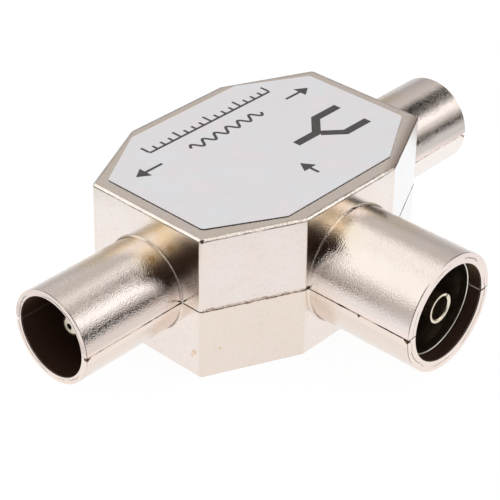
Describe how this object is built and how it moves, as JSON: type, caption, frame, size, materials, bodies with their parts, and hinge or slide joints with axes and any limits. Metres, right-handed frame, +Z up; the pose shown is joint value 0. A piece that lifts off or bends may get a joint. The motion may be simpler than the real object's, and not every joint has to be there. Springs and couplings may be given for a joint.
{
  "type": "coaxial splitter",
  "caption": "Coaxial aerial splitter: cast octagonal housing in two halves, a socket on one side and a plug at each end, with a small coil network on a board inside.",
  "frame": {"origin": "centre of the flat underside of the housing, midway between the end faces and between the side faces", "axes": "+Z up through the label, X along the two plugs, the socket points along -Y"},
  "size_m": [0.056, 0.0354, 0.0157],
  "materials": {
    "nickel_casting": "satin nickel plate on a zinc casting, slightly warm",
    "label_film": "cool light grey film with a soft sheen",
    "nickel_pin": "bright nickel plate on turned brass",
    "nickel_sheet": "nickel plate on thin spring sheet",
    "dark_plastic": "dark moulded plastic",
    "board_laminate": "brown paper laminate",
    "copper": "bare copper foil",
    "ferrite": "dull dark ferrite",
    "red_enamel_wire": "red enamel on copper wire",
    "green_enamel_wire": "green enamel on copper wire",
    "resistor_coat": "pale blue lacquer",
    "capacitor_coat": "ochre dipped coat",
    "solder": "bright solder"
  },
  "bodies": {
    "root": {"upper_shell": "nickel_casting", "lower_shell": "nickel_casting", "top_label": "label_film", "out_pin_left": "nickel_pin", "out_pin_right": "nickel_pin", "out_insulator_left": "dark_plastic", "out_insulator_right": "dark_plastic", "in_contact": "nickel_pin", "in_insulator": "dark_plastic", "in_spring_sleeve": "nickel_sheet", "circuit_board": "board_laminate", "copper_tracks": "copper", "match_core": "ferrite", "match_winding": "red_enamel_wire", "split_core": "ferrite", "split_winding_left": "red_enamel_wire", "split_winding_right": "green_enamel_wire", "balance_resistor": "resistor_coat", "input_capacitor": "capacitor_coat", "stem_solder_joints": "solder", "lead_solder_joints": "solder"}
  },
  "joints": []
}
